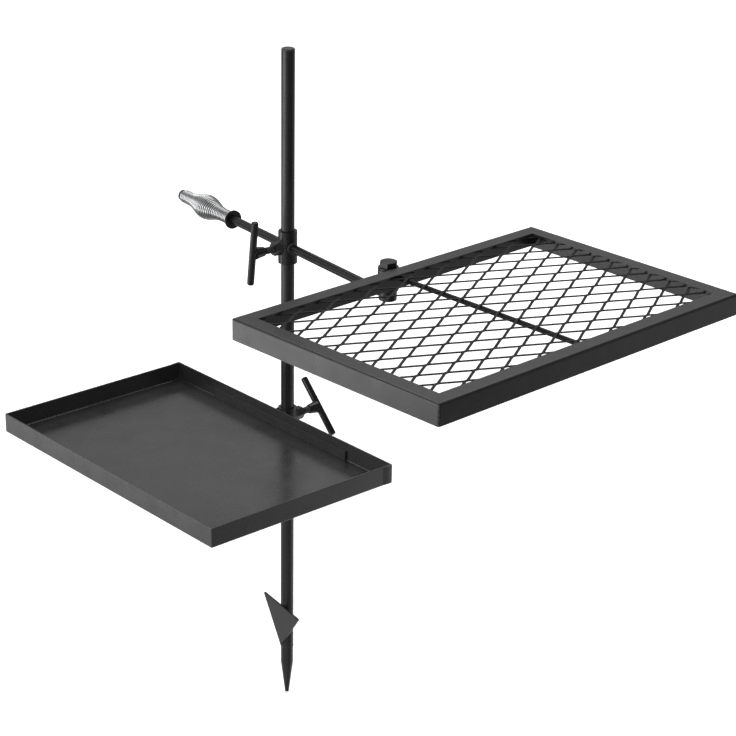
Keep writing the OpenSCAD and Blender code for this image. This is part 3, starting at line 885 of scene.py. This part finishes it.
def make_floor():
    """A pale floor that the camera sees white apart from the shadow that it keeps. Reflections
    see a painted glow on it instead, lighter towards the bright side.
    """
    mesh = bpy.data.meshes.new("floor")
    corners = ((-1, -1), (1, -1), (1, 1), (-1, 1))
    mesh.from_pydata([(x * FLOOR_HALF, y * FLOOR_HALF, FLOOR_Z) for x, y in corners], [],
                     [(0, 1, 2, 3)])
    floor = bpy.data.objects.new("floor", mesh)
    bpy.context.scene.collection.objects.link(floor)
    n = Nodes(bpy.data.materials.new("pale_floor"))
    n.tree.nodes.remove(n.shader)
    flat = n.vector("MULTIPLY", n.place, (1, 1, 0))
    reach = n.vector("LENGTH", flat, out="Value")
    side = n.vector("DOT_PRODUCT", n.vector("NORMALIZE", flat), BRIGHT_WAY, "Value")
    # Painted reflection: the floor glows for reflections only, by its direction and its distance
    # from the pole
    near = n.ease(side, -0.3, 0.2, n.ease(side, -0.9, -0.5, 1.0, 0.3), 0.6)
    dark = n.ease(reach, 0.5, 2.0, near, n.ease(side, -0.95, -0.65, 0.62, 0.2))
    bright = n.ease(reach, 1.1, 1.9, 0.65, 1.0)
    mirrored = n.math("MULTIPLY", n.ease(side, 0.45, 0.75, dark, bright),
                      n.ease(reach, 3.0, 6.0, 1.0, 0.2))
    path = n.add("ShaderNodeLightPath")
    for_camera = n.math("MULTIPLY", path.outputs["Is Camera Ray"],
                        n.ease(reach, 0.8, 2.5, 0.55, 1.0))
    diffuse = n.add("ShaderNodeBsdfDiffuse", {"Color": grey(FLOOR_TONE)})
    glow = n.add("ShaderNodeEmission", {"Color": WHITE, "Strength": for_camera})
    pale = n.add("ShaderNodeAddShader", {0: diffuse.outputs[0], 1: glow.outputs[0]})
    # The floor's painted reflection glow, which only glossy rays see
    painted_reflection_glow = n.add("ShaderNodeEmission", {"Color": WHITE, "Strength": mirrored})
    both = n.add("ShaderNodeMixShader", {
        0: path.outputs["Is Glossy Ray"], 1: pale.outputs[0], 2: painted_reflection_glow.outputs[0]})
    n.tree.links.new(both.outputs[0], n.tree.nodes["Material Output"].inputs["Surface"])
    mesh.materials.append(n.owner)


def make_world():
    """Soft fill for the surfaces, white for the camera, and the studio for reflections."""
    world = bpy.data.worlds.new("studio")
    bpy.context.scene.world = world
    n = Nodes(world, "Generated")
    side = n.vector("DOT_PRODUCT", n.place, BRIGHT_WAY, "Value")
    height = n.add("ShaderNodeSeparateXYZ", {0: n.place}).outputs["Z"]
    horizon = n.ease(n.math("ABSOLUTE", height), 0.02, 0.15, 0.25, 1)
    # Above the backdrop the studio is darker, with a black gap below the overhead softbox
    upper = n.ease(height, 0.47, 0.6, n.ease(height, 0.36, 0.43, 0.75, 1.75), 0.4)
    # Behind the object the backdrop falls off towards the left, up to the studio's bright side
    falling = n.ease(side, -0.55, -0.28, 1.3, 0.65)
    behind = n.ease(side, -0.1, 0.3, falling, 1.0)
    gap = n.ease(n.math("ABSOLUTE", n.math("SUBTRACT", height, 0.65)), 0.03, 0.11, 0.1, 1)
    mirrored = n.math("MULTIPLY", n.math("MULTIPLY", n.ease(side, -1, 0.4, 0.25, 1.0), behind),
                      n.math("MULTIPLY", horizon, n.math("MULTIPLY", upper, gap)))
    mirrored = n.math("MINIMUM", mirrored, 1.0)
    path = n.add("ShaderNodeLightPath")
    level = n.spread(path.outputs["Is Glossy Ray"], 0, 1, WORLD_FILL, mirrored)
    level = n.spread(path.outputs["Is Camera Ray"], 0, 1, level, 1.0)
    backdrop = n.tree.nodes["Background"]
    backdrop.inputs["Color"].default_value = WHITE
    n.tree.links.new(level, backdrop.inputs["Strength"])


def area_light(name, at, look_at, size, power):
    """A square lamp; lengths in metres."""
    data = bpy.data.lights.new(name, "AREA")
    data.energy = power
    data.shape = "SQUARE"
    data.size = size
    light = bpy.data.objects.new(name, data)
    light.location = at
    way = Vector(look_at) - Vector(at)
    light.rotation_euler = way.to_track_quat("-Z", "Y").to_euler()
    bpy.context.scene.collection.objects.link(light)


make_floor()
make_world()
area_light("overhead_softbox", (0.6, 0.6, 2.8), (0, -0.1, 0.4), 2.2, 40)
area_light("left_softbox", (-2.3, 0.5, 0.7), (0, 0, 0.4), 1.8, 31)
area_light("left_low_panel", (-2.05, 1.4, FLOOR_Z + 0.02), (-2.05, 1.4, 1.0), 1.6, 24)

bpy.context.scene.view_settings.view_transform = "Standard"
